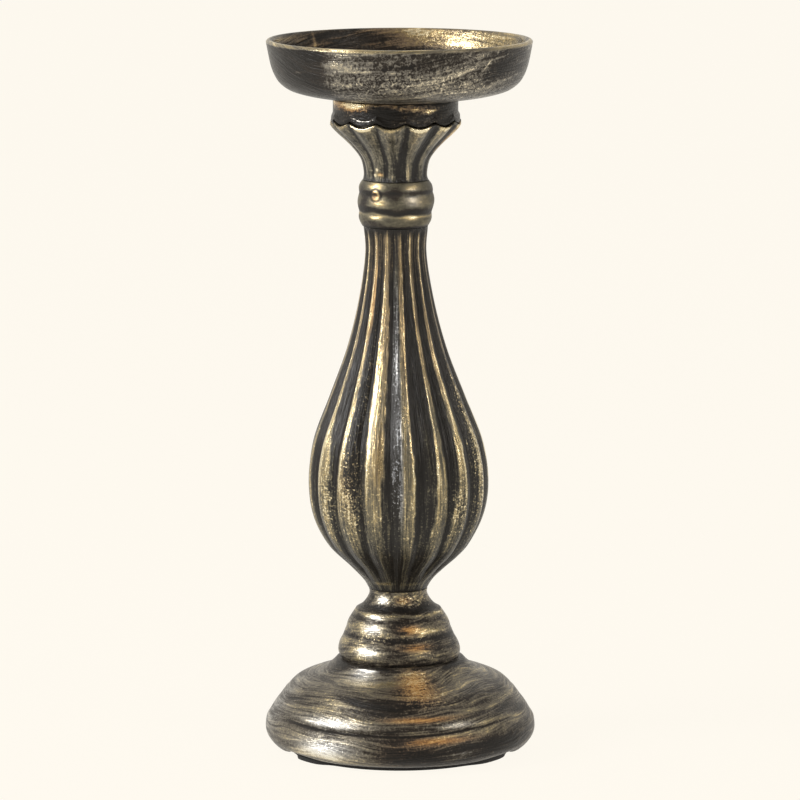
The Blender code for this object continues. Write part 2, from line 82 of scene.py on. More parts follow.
# Finishes
GROUND = (1.0, 0.956, 0.871)
BLACK = (0.0105, 0.0088, 0.0072)
CHARCOAL = (0.0250, 0.0190, 0.0140)
SLATE = (0.0210, 0.0185, 0.0150)
TAUPE = (0.124, 0.107, 0.080)
OLIVE = (0.120, 0.108, 0.074)
TARNISH = (0.240, 0.205, 0.135)
GOLD = (0.470, 0.370, 0.195)
# The palest gold is both bright gold paint and the colour of painted highlights on gold
PALE_GOLD = (0.860, 0.760, 0.520)
UMBER = (0.050, 0.036, 0.026)
RUST = (0.350, 0.172, 0.056)
BRONZE = (0.700, 0.410, 0.150)
AMBER = (0.850, 0.590, 0.280)
SILVER = (0.300, 0.305, 0.315)
# The white of painted highlights, at the top of the cool ramp
SILVER_HIGHLIGHT = (0.880, 0.880, 0.860)
DULL_ZINC = (0.42, 0.42, 0.44)
BRIGHT_ZINC = (0.62, 0.62, 0.61)
DARK_RUBBER = (0.008, 0.008, 0.009)
PALE_RUBBER = (0.022, 0.021, 0.020)
FLOOR = (0.80, 0.78, 0.74)
SOFT_WHITE = (1.0, 0.985, 0.96)

# A point of an outline is dropped when it is nearer to the last one than this share of the spacing and
# the outline bends there by no more than this, in radians
NEAR = 0.6
CORNER = 0.35

SHARP_ANGLE = math.radians(50)
SAME_PLACE = 1e-7         # metres between points that become one

# The gold and the mottle of surfaces inside the stand
HIDDEN_PAINT = 0.3

# The brush map's radius: strokes keep their length whatever the section's radius is
MAP_RADIUS = 0.040

# How much finer than a stroke the marks of single hairs are, across it and along it
HAIR_WIDTH = 2.4
HAIR_LENGTH = 1.3

# The broad clouds' scale round the axis and along the outline, as shares of a stroke's
CLOUD_ROUND = 0.40
CLOUD_ALONG = 0.24

# How much hairs and clouds break up the gold, as shares of what the strokes do
HAIR_SHARE = 0.55
CLOUD_SHARE = 1.1

SPECKS = 1100             # per metre


def smooth(points, steps=10):
    """A smooth curve through every given point, by centripetal Catmull-Rom spans."""
    knots = [Vector(point) for point in points]
    knots = [2 * knots[0] - knots[1]] + knots + [2 * knots[-1] - knots[-2]]
    curve = [tuple(knots[1])]
    for a, b, c, d in zip(knots, knots[1:], knots[2:], knots[3:]):
        first = math.sqrt((b - a).length)
        middle = math.sqrt((c - b).length)
        last = math.sqrt((d - c).length)
        leave = middle * ((b - a) / first - (c - a) / (first + middle) + (c - b) / middle)
        arrive = middle * ((c - b) / middle - (d - b) / (middle + last) + (d - c) / last)
        for step in range(1, steps + 1):
            t = step / steps
            point = ((2 * t ** 3 - 3 * t ** 2 + 1) * b + (t ** 3 - 2 * t ** 2 + t) * leave
                     + (3 * t ** 2 - 2 * t ** 3) * c + (t ** 3 - t ** 2) * arrive)
            curve.append(tuple(point))
    return curve


def bead(top, bottom, bulge, steps=16):
    """A rounded moulding between two outline points, standing out by its bulge."""
    points = []
    for step in range(steps + 1):
        share = step / steps
        radius = top[0] + (bottom[0] - top[0]) * share
        height = top[1] + (bottom[1] - top[1]) * share
        points.append((radius + bulge * math.sin(math.pi * share), height))
    return points


def evenly(points, spacing):
    """The same outline with points a set distance apart, keeping its corners."""
    points = np.array(points, float)
    kept = [points[0]]
    for start, end in zip(points, points[1:]):
        length = np.linalg.norm(end - start)
        count = max(1, int(round(length / spacing)))
        for step in range(1, count + 1):
            kept.append(start + (end - start) * step / count)
    thinned = [kept[0]]
    for here, after in zip(kept[1:], kept[2:]):
        along, onward = here - thinned[-1], after - here
        bend = abs(math.atan2(along[0] * onward[1] - along[1] * onward[0], along @ onward))
        if np.linalg.norm(along) > NEAR * spacing or bend > CORNER:
            thinned.append(here)
    thinned.append(kept[-1])
    return np.array(thinned)


def wander(turn, height, seed, amount, waves=5, rise=0.03):
    """A gentle unevenness over a surface, the same at both ends of a full turn."""
    random = np.random.default_rng(seed)
    total = np.zeros(np.broadcast(turn, height).shape)
    for wave in range(1, waves + 1):
        phase, climb = random.uniform(0, 2 * math.pi), random.uniform(-rise, rise)
        total = total + np.sin(wave * turn + climb * height * wave + phase) / wave
    return amount * total


def lean(height):
    """The sideways shift of the stack at a height, in mm."""
    heights, shifts = zip(*LEAN)
    return np.interp(height, heights, shifts)


def turns(columns):
    """Angles evenly spaced round the axis."""
    return np.arange(columns) * 2 * math.pi / columns - math.pi


def body(name, rows, columns, radius, height, shift, paint, along, finish, node):
    """Makes a closed body of rings that run down its outside and up its inside.

    radius and height are grids of rows by columns, in mm, and so are the layers of paint, each a name
    with its values. along is the brush map's length down the outline.
    """
    turn = turns(columns)[None, :]
    x = radius * np.sin(turn) + shift
    y = -radius * np.cos(turn)
    points = np.stack([x, y, height], axis=2).reshape(-1, 3) * MM
    index = np.arange(rows * columns).reshape(rows, columns)
    down, round_ = np.roll(index, -1, axis=0), np.roll(index, -1, axis=1)
    faces = np.stack([index, down, np.roll(down, -1, axis=1), round_], axis=2).reshape(-1, 4)
    mesh = bpy.data.meshes.new(name)
    mesh.from_pydata(points.tolist(), [], faces.tolist())
    for title, values in paint.items():
        layer = mesh.attributes.new(title, "FLOAT", "POINT")
        layer.data.foreach_set("value", np.ascontiguousarray(values, np.float32).ravel())
    brush = np.stack([MAP_RADIUS * np.sin(turn) + 0 * radius, -MAP_RADIUS * np.cos(turn) + 0 * radius,
                      along * MM], axis=2)
    layer = mesh.attributes.new("brush", "FLOAT_VECTOR", "POINT")
    layer.data.foreach_set("vector", np.ascontiguousarray(brush, np.float32).ravel())
    clean = bmesh.new()
    clean.from_mesh(mesh)
    bmesh.ops.remove_doubles(clean, verts=clean.verts, dist=SAME_PLACE)
    bmesh.ops.recalc_face_normals(clean, faces=clean.faces)
    clean.to_mesh(mesh)
    clean.free()
    mesh.shade_smooth()
    mesh.set_sharp_from_angle(angle=SHARP_ANGLE)
    mesh.materials.append(finish)
    piece = bpy.data.objects.new(name, mesh)
    bpy.context.collection.objects.link(piece)
    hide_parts(node)
    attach(piece, ROOT)


def turned(name, outer, inner, foot, columns, finish, node, shape=None, painter=None, shift=None,
           spacing=0.7, sway=None, waver=0.0):
    """A section of the stand: its outer outline, shaped and painted by turn, round a plain inside.

    shape changes radius and height, both in mm, by the turn in radians. The painter is given the radius,
    the height above the table and the turn in degrees, and gives how much gold each place takes, how warm
    it is and how mottled. The painters also paint highlights with more gold and shade with less, and warm
    below 0 whitens the painted highlights. sway is how far the brush strokes rise round the axis and waver
    how unsteady they are, both in mm.
    """
    outside = evenly(outer, spacing)
    inside = np.array(inner, float)
    outline = np.vstack([outside, inside])
    rows = len(outline)
    turn = turns(columns)[None, :]
    radius = np.repeat(outline[:, :1], columns, axis=1)
    height = np.repeat(outline[:, 1:], columns, axis=1)
    step = np.linalg.norm(np.diff(outline, axis=0, prepend=outline[:1]), axis=1)
    along = np.repeat(np.cumsum(step)[:, None], columns, axis=1)
    along = along + wander(turn, along, 41, waver, waves=9, rise=0.06)
    if sway:
        along = along + sway(turn)
    shown = len(outside)
    if shape:
        radius[:shown], height[:shown] = shape(radius[:shown], height[:shown], turn)
    paint = {"gold": np.full((rows, columns), HIDDEN_PAINT), "warm": np.zeros((rows, columns)),
             "mottle": np.full((rows, columns), HIDDEN_PAINT)}
    if painter:
        layers = painter(radius[:shown], foot + height[:shown], np.degrees(turn))
        for title, values in zip(paint, layers):
            paint[title][:shown] = values
        paint["warm"] = np.clip(paint["warm"], -1, 1)
    offset = lean(foot + height) if shift is None else shift
    body(name, rows, columns, radius, foot + height, offset, paint, along, finish, node)


def dab(turn, height, middle, level, half_turn, half_height, slope=0.0):
    """A soft patch of paint: 1 in its middle and fading out past its half sizes, in degrees and mm."""
    across = (turn - middle + 180) % 360 - 180
    upward = height - level - slope * across
    return np.exp(-(across / half_turn) ** 2 - (upward / half_height) ** 2)


def dabs(turn, height, *patches):
    """Several patches together, each (strength, middle, level, half_turn, half_height, slope)."""
    total = 0 * height * turn
    for strength, *place in patches:
        total = total + strength * dab(turn, height, *place)
    return total


def band(value, middle, half, soft):
    """1 inside a band and 0 outside it, with soft edges."""
    return 1 / (1 + np.exp((np.abs(value - middle) - half) / soft))


def peak(value, middle, width):
    """1 at the middle, fading out past its width on both sides."""
    return np.exp(-((value - middle) / width) ** 2)


def reached(value, start, end):
    """How far a value has got from start to end, from 0 to 1."""
    return np.clip((value - start) / (end - start), 0, 1)


def put(tree, kind, inputs=None, **settings):
    """Adds a shader node, sets its values and links the sockets that it is given."""
    made = tree.nodes.new(kind)
    for key, value in settings.items():
        setattr(made, key, value)
    for key, value in (inputs or {}).items():
        if isinstance(value, bpy.types.NodeSocket):
            tree.links.new(value, made.inputs[key])
        else:
            made.inputs[key].default_value = value
    return made


def mixed(tree, share, first, second):
    """Two shaders mixed, with a share of the second."""
    return put(tree, "ShaderNodeMixShader", {"Fac": share, 1: first, 2: second}).outputs[0]


def maths(tree, operation, *values, clamp=False):
    """One Math node's output."""
    made = put(tree, "ShaderNodeMath", dict(enumerate(values)), operation=operation, use_clamp=clamp)
    return made.outputs[0]


def scaled(tree, vector, scale):
    """A vector stretched along its axes."""
    return put(tree, "ShaderNodeVectorMath", {0: vector, 1: scale}, operation="MULTIPLY").outputs[0]


def noise(tree, vector, detail=3.0, roughness=0.55, distortion=0.0):
    """A noise texture's value."""
    values = {"Vector": vector, "Scale": 1.0, "Detail": detail, "Roughness": roughness,
              "Distortion": distortion}
    return put(tree, "ShaderNodeTexNoise", values).outputs["Fac"]


def ramp(tree, value, stops):
    """A colour ramp through (place, colour) stops."""
    made = put(tree, "ShaderNodeValToRGB", {"Fac": value})
    elements = made.color_ramp.elements
    while len(elements) < len(stops):
        elements.new(0.5)
    for element, (place, colour) in zip(elements, stops):
        element.position = place
        element.color = (*colour, 1.0)
    return made.outputs["Color"]


def between(tree, value, low, high, start, end):
    """A value mapped from one range to another, held at its ends."""
    return put(tree, "ShaderNodeMapRange", {0: value, 1: low, 2: high, 3: start, 4: end}).outputs[0]


def swung(tree, texture, weight, total):
    """A total with a texture's swing about its middle added, times a weight."""
    return maths(tree, "MULTIPLY_ADD", maths(tree, "SUBTRACT", texture, 0.5), weight, total)


def connect(tree, shader, values):
    """Links each value to the shader's socket of its name."""
    for name, value in values.items():
        tree.links.new(value, shader.inputs[name])


def blank(name):
    """A new material with only its output and shader."""
    made = bpy.data.materials.new(name)
    made.use_nodes = True
    return made, made.node_tree, made.node_tree.nodes["Principled BSDF"]


def brushed_paint(name, stroke, sponge_scale, weights, coats, sharpness, relief, gloss, satin):
    """Antique gold brushed over black.

    stroke is the brush's scale round the axis and along the outline, per metre. weights say how much the
    strokes, the sponge, the specks and the glitter break up the gold. coats are the two thin coats between
    black and gold. satin is the roughness of the brightest gold.
    """
    made, tree, shader = blank(name)
    gold, warm, mottle = (put(tree, "ShaderNodeAttribute", attribute_name=title).outputs["Fac"]
                          for title in ("gold", "warm", "mottle"))
    brush = put(tree, "ShaderNodeAttribute", attribute_name="brush").outputs["Vector"]
    place = put(tree, "ShaderNodeTexCoord").outputs["Object"]
    round_, along = stroke
    stroke_weight, sponge_weight, speck_weight, glitter_weight = weights
    dark, wash = coats
    cloud_round, cloud_along = CLOUD_ROUND * round_, CLOUD_ALONG * along
    clouds = noise(tree, scaled(tree, brush, (cloud_round, cloud_round, cloud_along)), 2.0, 0.5, 0.6)
    strokes = noise(tree, scaled(tree, brush, (round_, round_, along)), 3.0, 0.5, 0.9)
    fine_round = round_ * (HAIR_WIDTH if round_ > along else HAIR_LENGTH)
    fine_along = along * (HAIR_LENGTH if round_ > along else HAIR_WIDTH)
    hairs = noise(tree, scaled(tree, brush, (fine_round, fine_round, fine_along)), 2.0, 0.55, 0.3)
    sponge = noise(tree, scaled(tree, place, (sponge_scale,) * 3), 3.0, 0.55, 1.6)
    specks = noise(tree, scaled(tree, place, (SPECKS,) * 3), 1.0, 0.5)
    total = swung(tree, strokes, stroke_weight, gold)
    total = swung(tree, hairs, HAIR_SHARE * stroke_weight, total)
    total = swung(tree, clouds, CLOUD_SHARE * stroke_weight, total)
    total = swung(tree, sponge, maths(tree, "MULTIPLY", mottle, sponge_weight), total)
    total = swung(tree, specks, maths(tree, "MULTIPLY", mottle, speck_weight), total)
    glitter = maths(tree, "MULTIPLY", between(tree, specks, 0.60, 0.68, 0.0, glitter_weight), mottle)
    total = maths(tree, "ADD", total, glitter)
    level = between(tree, total, 0.5 - 0.5 / sharpness, 0.5 + 0.5 / sharpness, 0.0, 1.0)
    # The top of each ramp also gives the painted highlights, which turn white where warm is below 0
    gilt = ramp(tree, level, ((0.0, BLACK), (0.22, dark), (0.45, wash), (0.64, TARNISH), (0.82, GOLD),
                              (1.0, PALE_GOLD)))
    rusty = ramp(tree, level, ((0.0, BLACK), (0.25, UMBER), (0.50, RUST), (0.80, BRONZE), (1.0, AMBER)))
    steely = ramp(tree, level, ((0.0, BLACK), (0.30, dark), (0.62, SILVER), (1.0, SILVER_HIGHLIGHT)))
    coolness = maths(tree, "MULTIPLY", warm, -1.0, clamp=True)
    warmth = maths(tree, "MAXIMUM", warm, 0.0)
    cool = put(tree, "ShaderNodeMix", {"Factor": coolness, "A": gilt, "B": steely}, data_type="RGBA")
    cool = cool.outputs["Result"]
    colour = put(tree, "ShaderNodeMix", {"Factor": warmth, "A": cool, "B": rusty}, data_type="RGBA")
    plain = maths(tree, "MULTIPLY_ADD", maths(tree, "ABSOLUTE", warm), -0.5, 1.0)
    metal = maths(tree, "MULTIPLY", between(tree, level, 0.30, 0.80, 0.05, 0.95), plain)
    grain = maths(tree, "MULTIPLY_ADD", hairs, 0.20, between(tree, level, 0.1, 0.9, satin + 0.08, satin))
    shader.inputs["Specular IOR Level"].default_value = gloss
    ridges = maths(tree, "MULTIPLY_ADD", strokes, 0.6, maths(tree, "MULTIPLY", sponge, 0.2))
    ridges = maths(tree, "MULTIPLY_ADD", hairs, 0.35, ridges)
    ridges = maths(tree, "MULTIPLY_ADD", specks, 0.05, ridges)
    bump = put(tree, "ShaderNodeBump", {"Strength": 1.0, "Distance": relief, "Height": ridges})
    connect(tree, shader, {"Base Color": colour.outputs["Result"], "Metallic": metal, "Roughness": grain,
                           "Normal": bump.outputs["Normal"]})
    return made


def zinc_steel():
    """Zinc plate, with the faint clouding and scratches of a turned fastener."""
    made, tree, shader = blank("zinc plated steel")
    place = put(tree, "ShaderNodeTexCoord").outputs["Object"]
    cloud = noise(tree, scaled(tree, place, (260, 260, 260)), 4.0)
    scratch = noise(tree, scaled(tree, place, (400, 400, 4000)), 2.0)
    colour = ramp(tree, cloud, ((0.3, DULL_ZINC), (0.7, BRIGHT_ZINC)))
    shader.inputs["Metallic"].default_value = 1.0
    bump = put(tree, "ShaderNodeBump", {"Strength": 0.15, "Distance": 0.0002, "Height": scratch})
    connect(tree, shader, {"Base Color": colour, "Roughness": between(tree, scratch, 0.3, 0.7, 0.24, 0.42),
                           "Normal": bump.outputs["Normal"]})
    return made


def foam_rubber():
    """The black pad, dull and slightly grained."""
    made, tree, shader = blank("black foam rubber")
    place = put(tree, "ShaderNodeTexCoord").outputs["Object"]
    grain = noise(tree, scaled(tree, place, (1500, 1500, 1500)), 3.0)
    colour = ramp(tree, grain, ((0.3, DARK_RUBBER), (0.8, PALE_RUBBER)))
    bump = put(tree, "ShaderNodeBump", {"Strength": 0.4, "Distance": 0.0003, "Height": grain})
    connect(tree, shader, {"Base Color": colour, "Roughness": between(tree, grain, 0.3, 0.7, 0.62, 0.85),
                           "Normal": bump.outputs["Normal"]})
    return made


# The sections' feet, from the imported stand, in mm
BELL_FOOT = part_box("base_bell")[0].z / MM
RISER_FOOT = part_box("base_bell")[1].z / MM + SEAM
COLUMN_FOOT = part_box("ring_riser")[1].z / MM + SEAM
COLLAR_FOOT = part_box("fluted_column")[1].z / MM + SEAM
CAPITAL_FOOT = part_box("ring_collar")[1].z / MM + SEAM
DRUM_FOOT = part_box("scalloped_capital")[1].z / MM + SEAM
DISH_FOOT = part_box("dish_drum")[1].z / MM + SEAM
BELL_TOP = RISER_FOOT - SEAM - BELL_FOOT
RISER_TOP = COLUMN_FOOT - SEAM - RISER_FOOT
COLUMN_TOP = COLLAR_FOOT - SEAM - COLUMN_FOOT
COLLAR_TOP = CAPITAL_FOOT - SEAM - COLLAR_FOOT
CAPITAL_TOP = DRUM_FOOT - SEAM - CAPITAL_FOOT
DRUM_TOP = DISH_FOOT - SEAM - DRUM_FOOT
DISH_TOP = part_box("candle_dish")[1].z / MM - DISH_FOOT

# The joints between sections, in mm. The bores are wide enough for the rod in a stack that leans.
BORE = 5.4
SPIGOT = 7.8
RECESS = 8.1
SPIGOT_DEPTH = 2.6
RECESS_DEPTH = 3.0
RISER_SPIGOT = 15.7
RISER_RECESS = 16.3

# Points round each section, or round one of its lobes or petals
BELL_POINTS = 380
PAD_POINTS = 120
RISER_POINTS = 240
LOBE_POINTS = 26
COLLAR_POINTS = 240
PETAL_POINTS = 28
SKIRT_POINTS = 64
DISH_POINTS = 540
SCREW_POINTS = 96


def joint_below(spigot=SPIGOT):
    """The end of an inside, round the spigot below a section's foot."""
    return [(spigot, 0.0), (spigot, -SPIGOT_DEPTH), (BORE, -SPIGOT_DEPTH)]


def joint_above(top, recess=RECESS):
    """The start of an inside, in the recess at a section's top."""
    return [(BORE, top - RECESS_DEPTH), (recess, top - RECESS_DEPTH), (recess, top)]


RIDGE_HEIGHT = 15.0       # the middle of the bell's ridge and groove
RIDGE_REACH = 6.5


def ridge_sway(turn):
    """How far the bell's ridge, and the strokes beside it, rise from the front round to the sides."""
    return 2.6 * np.sin(turn) ** 2 + np.sin(turn)


def bell(finish):
    """The bell foot: cove, shoulder, an uneven ridge over a groove, roll and tucked edge."""
    upper = smooth([(24.8, BELL_TOP), (26.6, 36.3), (28.2, 34.7), (30.6, 32.7), (34.2, 30.8), (39.6, 28.9),
                    (44.2, 26.8), (46.5, 24.7), (48.6, 21.9), (50.7, 19.5), (52.5, 17.5), (53.4, 16.2),
                    (53.6, 15.2), (53.4, 14.6)])
    lower = smooth([(53.5, 14.3), (54.6, 13.5), (55.5, 12.1), (56.5, 10.2), (57, 7.4), (56.9, 5.6),
                    (56.1, 3.6), (54.6, 1.9), (52.8, 0.7), (50.6, 0.1), (48.2, 0)])
    # At its sides the bell has no ridge or groove
    plain_heights = (10.2, 12.1, 13.5, 15, 17.5, 19.5, 21.9)
    plain_radii = (56.5, 55, 54.1, 53.1, 51.3, 50.2, 48.8)
    inner = [(44.5, 0), (46.6, 9.9), (41.5, 19.8), (27, 26), (12, 26), (12, 17.6), (BORE, 17.6)]
    inner += joint_above(BELL_TOP, RISER_RECESS)

    def shape(radius, height, turn):
        plain = np.interp(height, plain_heights, plain_radii)
        plain = np.where((height > plain_heights[0]) & (height < plain_heights[-1]), plain, radius)
        away = np.abs(np.degrees(turn))
        side = band(away, 90, 33, 3.5)
        radius = radius + (plain - radius) * side
        sway = ridge_sway(turn) + side * (1.6 - ridge_sway(turn))
        sway = sway * peak(height, RIDGE_HEIGHT, RIDGE_REACH)
        near_foot = 1 - reached(height, 0, 3)
        lift = 1.5 * reached(away, 38, 62) * band(away, 0, 65, 0.8) * near_foot
        sag = 0.8 * side * reached(radius, 49, 50.5) * near_foot
        return radius + wander(turn, height, 4, 0.06, rise=0.05), height + sway + lift - sag

    def painter(radius, up, turn):
        level = up - ridge_sway(np.radians(turn)) * peak(up, BELL_FOOT + RIDGE_HEIGHT, RIDGE_REACH)
        gold = 0.415 + wander(np.radians(turn), up, 11, 0.03, waves=7, rise=0.12)
        ridge = 1 - band(np.abs(turn), 90, 30, 4)
        # Painted shade along the groove under the ridge, and a painted highlight on the ridge just above
        # it; both fade out towards the sides
        gold = gold - 0.42 * ridge * peak(level, 16.2, 0.42)
        gold = gold + 0.05 * ridge * peak(level, 18.6, 1.1)
        # Painted shade on the bell's top, under the riser's foot
        gold = gold - 0.3 * peak(up, 38.3, 0.8)
        # Painted highlights where the lamps catch the bell: at -34 on the cove, ridge and roll, a thin
        # glint at -29 just under the riser, and at 26 and 30 on the right. The dark patch across the front
        # of the shoulder is darker paint and a painted dark reflection.
        gold = gold + dabs(
            turn, up, (-0.34, 1, 26.8, 19, 2.7), (-0.18, -20, 28.6, 14, 2, -0.05), (-0.36, 2, 9, 15, 4.8),
            (-0.2, -2, 18.7, 14, 1.4), (0.5, -34, 19.8, 17, 1.7), (0.52, -35, 8.2, 16, 4.2),
            (0.38, -32, 35, 16, 2.6, -0.05), (0.24, 11, 33, 9, 4.6, -0.1), (-0.24, 40, 11, 20, 3.5),
            (-0.2, 54, 9, 26, 5), (-0.05, -70, 28, 30, 7), (-0.14, 60, 26, 26, 5), (-0.12, 15, 6, 20, 3),
            (1.2, -29, 37.6, 8, 0.3), (0.18, 10, 22.2, 13, 0.9, 0.02), (0.13, 15, 14.4, 13, 1.1, 0.03),
            (0.24, 26, 19.8, 10, 1.1, 0.02), (0.06, 30, 9.2, 14, 1.2), (0.2, 130, 20, 20, 2),
            (0.2, -140, 9.5, 24, 3), (-0.22, 165, 26, 25, 3), (0.18, 175, 34, 20, 2.5))
        # The warms below 0 at -34, -33, -29, 27 and 30 turn the painted highlights white
        warm = dabs(
            turn, up, (1, 11, 33, 11, 4.6), (1, 10, 22.2, 16, 1.1), (0.9, 15, 14.2, 15, 1.4),
            (0.5, 4, 9, 14, 4), (0.8, 178, 33, 16, 4), (-0.9, -34, 19.6, 17, 2.4),
            (-0.9, -34, 9.5, 17, 4.4), (-0.8, -33, 36, 15, 3), (-0.6, 27, 19.8, 10, 1.6),
            (-0.5, 30, 9.2, 14, 2), (-0.6, -84, 18, 16, 14), (-0.9, -29, 37.6, 9, 0.4))
        mottle = 0.45 + dabs(
            turn, up, (1.6, 12, 33, 12, 5), (0.2, -33, 20, 20, 3), (0.3, 26, 19.6, 14, 2),
            (0.1, -34, 9.5, 18, 4))
        return gold, warm, mottle

    turned("bell_foot", upper + lower, inner, BELL_FOOT, BELL_POINTS, finish, "base_bell",
           shape, painter, sway=ridge_sway, spacing=0.6, waver=2.6)


def pad(finish):
    """The pad under the bell, a disc with rounded edges."""
    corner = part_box("base_pad")[1]
    wide, top = corner.x / MM, corner.z / MM
    outline = [(0, top), (wide - 0.4, top), (wide - 0.1, top - 0.2), (wide, top - 0.6), (wide, 0.4),
               (wide - 0.1, 0.1), (wide - 0.4, 0), (0, 0)]

    def shape(radius, height, turn):
        degrees = np.degrees(turn)
        corners = 3 * band(degrees, -52, 11, 1.5) + 2.2 * band(degrees, 54, 13, 2)
        return radius + (corners + 0.6 * np.sin(turn) ** 4) * (radius > 40), height

    turned("foot_pad", outline, [(0, top / 2)], 0, PAD_POINTS, finish, "base_pad",
           shape, spacing=6)


def riser(finish):
    """The riser: a cove, a thin edge and two rounded bulges."""
    upper = smooth([(12.4, RISER_TOP), (12.2, 27.1), (13.5, 24.2), (15.2, 21.8), (17.3, 20.5)])
    outline = upper + bead((17.6, 20.1), (22, 10.7), 1.25) + bead((22.2, 10.3), (24.6, 0), 1.9)

    def shape(radius, height, turn):
        uneven = wander(turn, height, 8, 0.1, rise=0.15)
        filled = 0.5 * peak(height, 2, 2.2) + 0.7 * peak(height, 10.6, 1.4)
        filled = filled + 0.6 * peak(height, 20.8, 2.2)
        uneven = uneven + filled * np.sin(turn) ** 4
        between_ends = (height > 1) * (height < RISER_TOP - 1)
        return radius + uneven, height + wander(turn, height, 9, 0.1) * between_ends

    def painter(radius, up, turn):
        gold = 0.415 + wander(np.radians(turn), up, 12, 0.04, waves=7, rise=0.2)
        # Painted shade in the grooves and under the riser's foot
        for groove, width, groove_shade in ((50, 0.9, 0.3), (57.2, 0.6, 0.2), (61.3, 1.5, 0.3),
                                     (39.9, 1, 0.3)):
            gold = gold - groove_shade * peak(up, groove, width)
        # A painted highlight along the thin edge above the upper bulge
        gold = gold + 0.26 * peak(up, 59.3, 0.5)
        # Painted highlights where the lamps catch the riser: at -31 on the left, white, and at 20 and 25 on
        # the right, warm
        gold = gold + dabs(
            turn, up, (0.34, -31, 65, 20, 2.2), (0.4, -31, 58.4, 14, 0.8), (0.38, -31, 54, 20, 2.6),
            (0.4, -32, 44.8, 18, 2.2), (0.14, -38, 50.3, 12, 0.8), (0.42, 25, 53.6, 15, 1.2, -0.03),
            (0.12, 20, 44.6, 10, 1.4), (-0.14, 0, 44.5, 10, 2), (-0.08, -2, 51, 13, 7),
            (0.07, -36, 52, 24, 12), (-0.2, 12, 61.5, 26, 1.6), (0.24, 150, 54, 22, 2),
            (0.2, -150, 44.6, 22, 2))
        # The warms below 0 at -31 and -32 turn the painted highlights on the left white
        warm = dabs(
            turn, up, (1, 12, 54.2, 12, 1.8), (0.9, 18, 47, 16, 1.4), (0.5, 10, 65, 14, 1.4),
            (0.8, -170, 47, 16, 1.6), (-0.9, -31, 65, 13, 2), (-0.9, -31, 58.3, 12, 0.9),
            (-0.8, -31, 54, 13, 2.2), (-0.8, -32, 44.6, 13, 2.2))
        mottle = 0.6 + dabs(turn, up, (0.8, -10, 50.2, 40, 1.2), (0.9, 10, 65, 40, 2))
        return gold, warm, mottle

    inner = joint_below(RISER_SPIGOT) + joint_above(RISER_TOP)
    turned("stem_riser", outline, inner, RISER_FOOT, RISER_POINTS, finish, "ring_riser",
           shape, painter, spacing=0.5, waver=0.8)


COLUMN_LOBES = 17
COLUMN_FIRST = 5          # degrees from the front to a lobe's crest
COLUMN_CREASE = 0.066
HIGHLIGHT_EDGE_WIDTH = 0.05         # of the painted highlight along a gold band's edge, as a share of a lobe


def lobe_phase(turn, count, first):
    """Which lobe a turn in degrees falls on, and where across it: -0.5 and 0.5 are its creases."""
    place = (turn - first) * count / 360
    index = np.round(place)
    return index.astype(int) % count, place - index


# The gold on the lobes in front, counted from the middle: which edge takes the painted highlight, -1 for
# the left and
# 1 for the right, and then (height above the table, left edge, right edge) from the foot up, where a lobe
# reaches from its left crease at -0.5 to its right crease at 0.5
GOLD_BANDS = {
    -4: (-1, ((80, -0.3, 0.3), (110, -0.26, 0.2), (160, -0.2, 0.1), (222, -0.14, 0.1))),
    -3: (-1, ((80, -0.3, 0.3), (112, -0.25, 0.35), (128, -0.2, 0.3), (145, -0.14, 0.12),
              (170, -0.18, 0.1), (200, -0.18, 0.14), (222, -0.14, 0.12))),
    -2: (-1, ((80, -0.4, 0.3), (104, -0.34, 0.4), (118, -0.24, 0.06), (137, -0.22, 0),
              (172, -0.26, 0.04), (184, -0.28, 0.16), (200, -0.24, 0.19), (222, -0.19, 0.18))),
    -1: (-1, ((80, -0.4, 0.4), (100, -0.26, 0.26), (130, -0.28, 0.27), (165, -0.28, 0.26),
              (200, -0.25, 0.22), (222, -0.19, 0.19))),
    0: (1, ((80, -0.16, 0.36), (100, -0.14, 0.32), (122, -0.12, 0.31), (140, -0.11, 0.22),
            (170, -0.06, 0.26), (200, -0.03, 0.34), (222, -0.06, 0.3))),
    1: (-1, ((80, -0.34, 0.42), (104, -0.1, 0.4), (118, -0.06, 0.36), (137, 0.03, 0.28),
             (158, 0.04, 0.3), (180, 0, 0.26), (200, -0.06, 0.28), (222, -0.12, 0.22))),
    2: (1, ((80, -0.4, 0.2), (104, -0.36, 0.14), (118, -0.18, 0.16), (140, -0.16, 0.08),
            (180, -0.16, 0.06), (200, -0.14, 0.08), (222, -0.12, 0.08))),
    3: (0, ((80, -0.3, 0.3), (108, -0.16, 0.16), (140, -0.14, 0.02), (165, -0.12, 0.02),
            (180, -0.12, 0.08), (222, -0.12, 0.1))),
}


def gold_bands(index, up):
    """The left and right edges of the gold at each place, and which edge takes the painted highlight: by
    chance at the back.
    """
    random = np.random.default_rng(5)
    left, right, bright = (np.zeros(up.shape) for _ in range(3))
    for lobe in range(COLUMN_LOBES):
        drift, half = random.uniform(-0.14, 0.14), random.uniform(0.14, 0.26)
        side = random.choice((-1, 1))
        stations = ((80, drift - 0.34, drift + 0.34), (106, drift - half, drift + half),
                    (150, drift - 0.8 * half, drift + 0.6 * half),
                    (200, drift - 0.6 * half, drift + 0.5 * half),
                    (222, 0.5 * drift - 0.1, 0.5 * drift + 0.1))
        for front, (edge, listed_stations) in GOLD_BANDS.items():
            if front % COLUMN_LOBES == lobe:
                side, stations = edge, listed_stations
        heights, lefts, rights = zip(*stations)
        here = index == lobe
        left[here] = np.interp(up[here], heights, lefts)
        right[here] = np.interp(up[here], heights, rights)
        bright[here] = side
    return left, right, bright


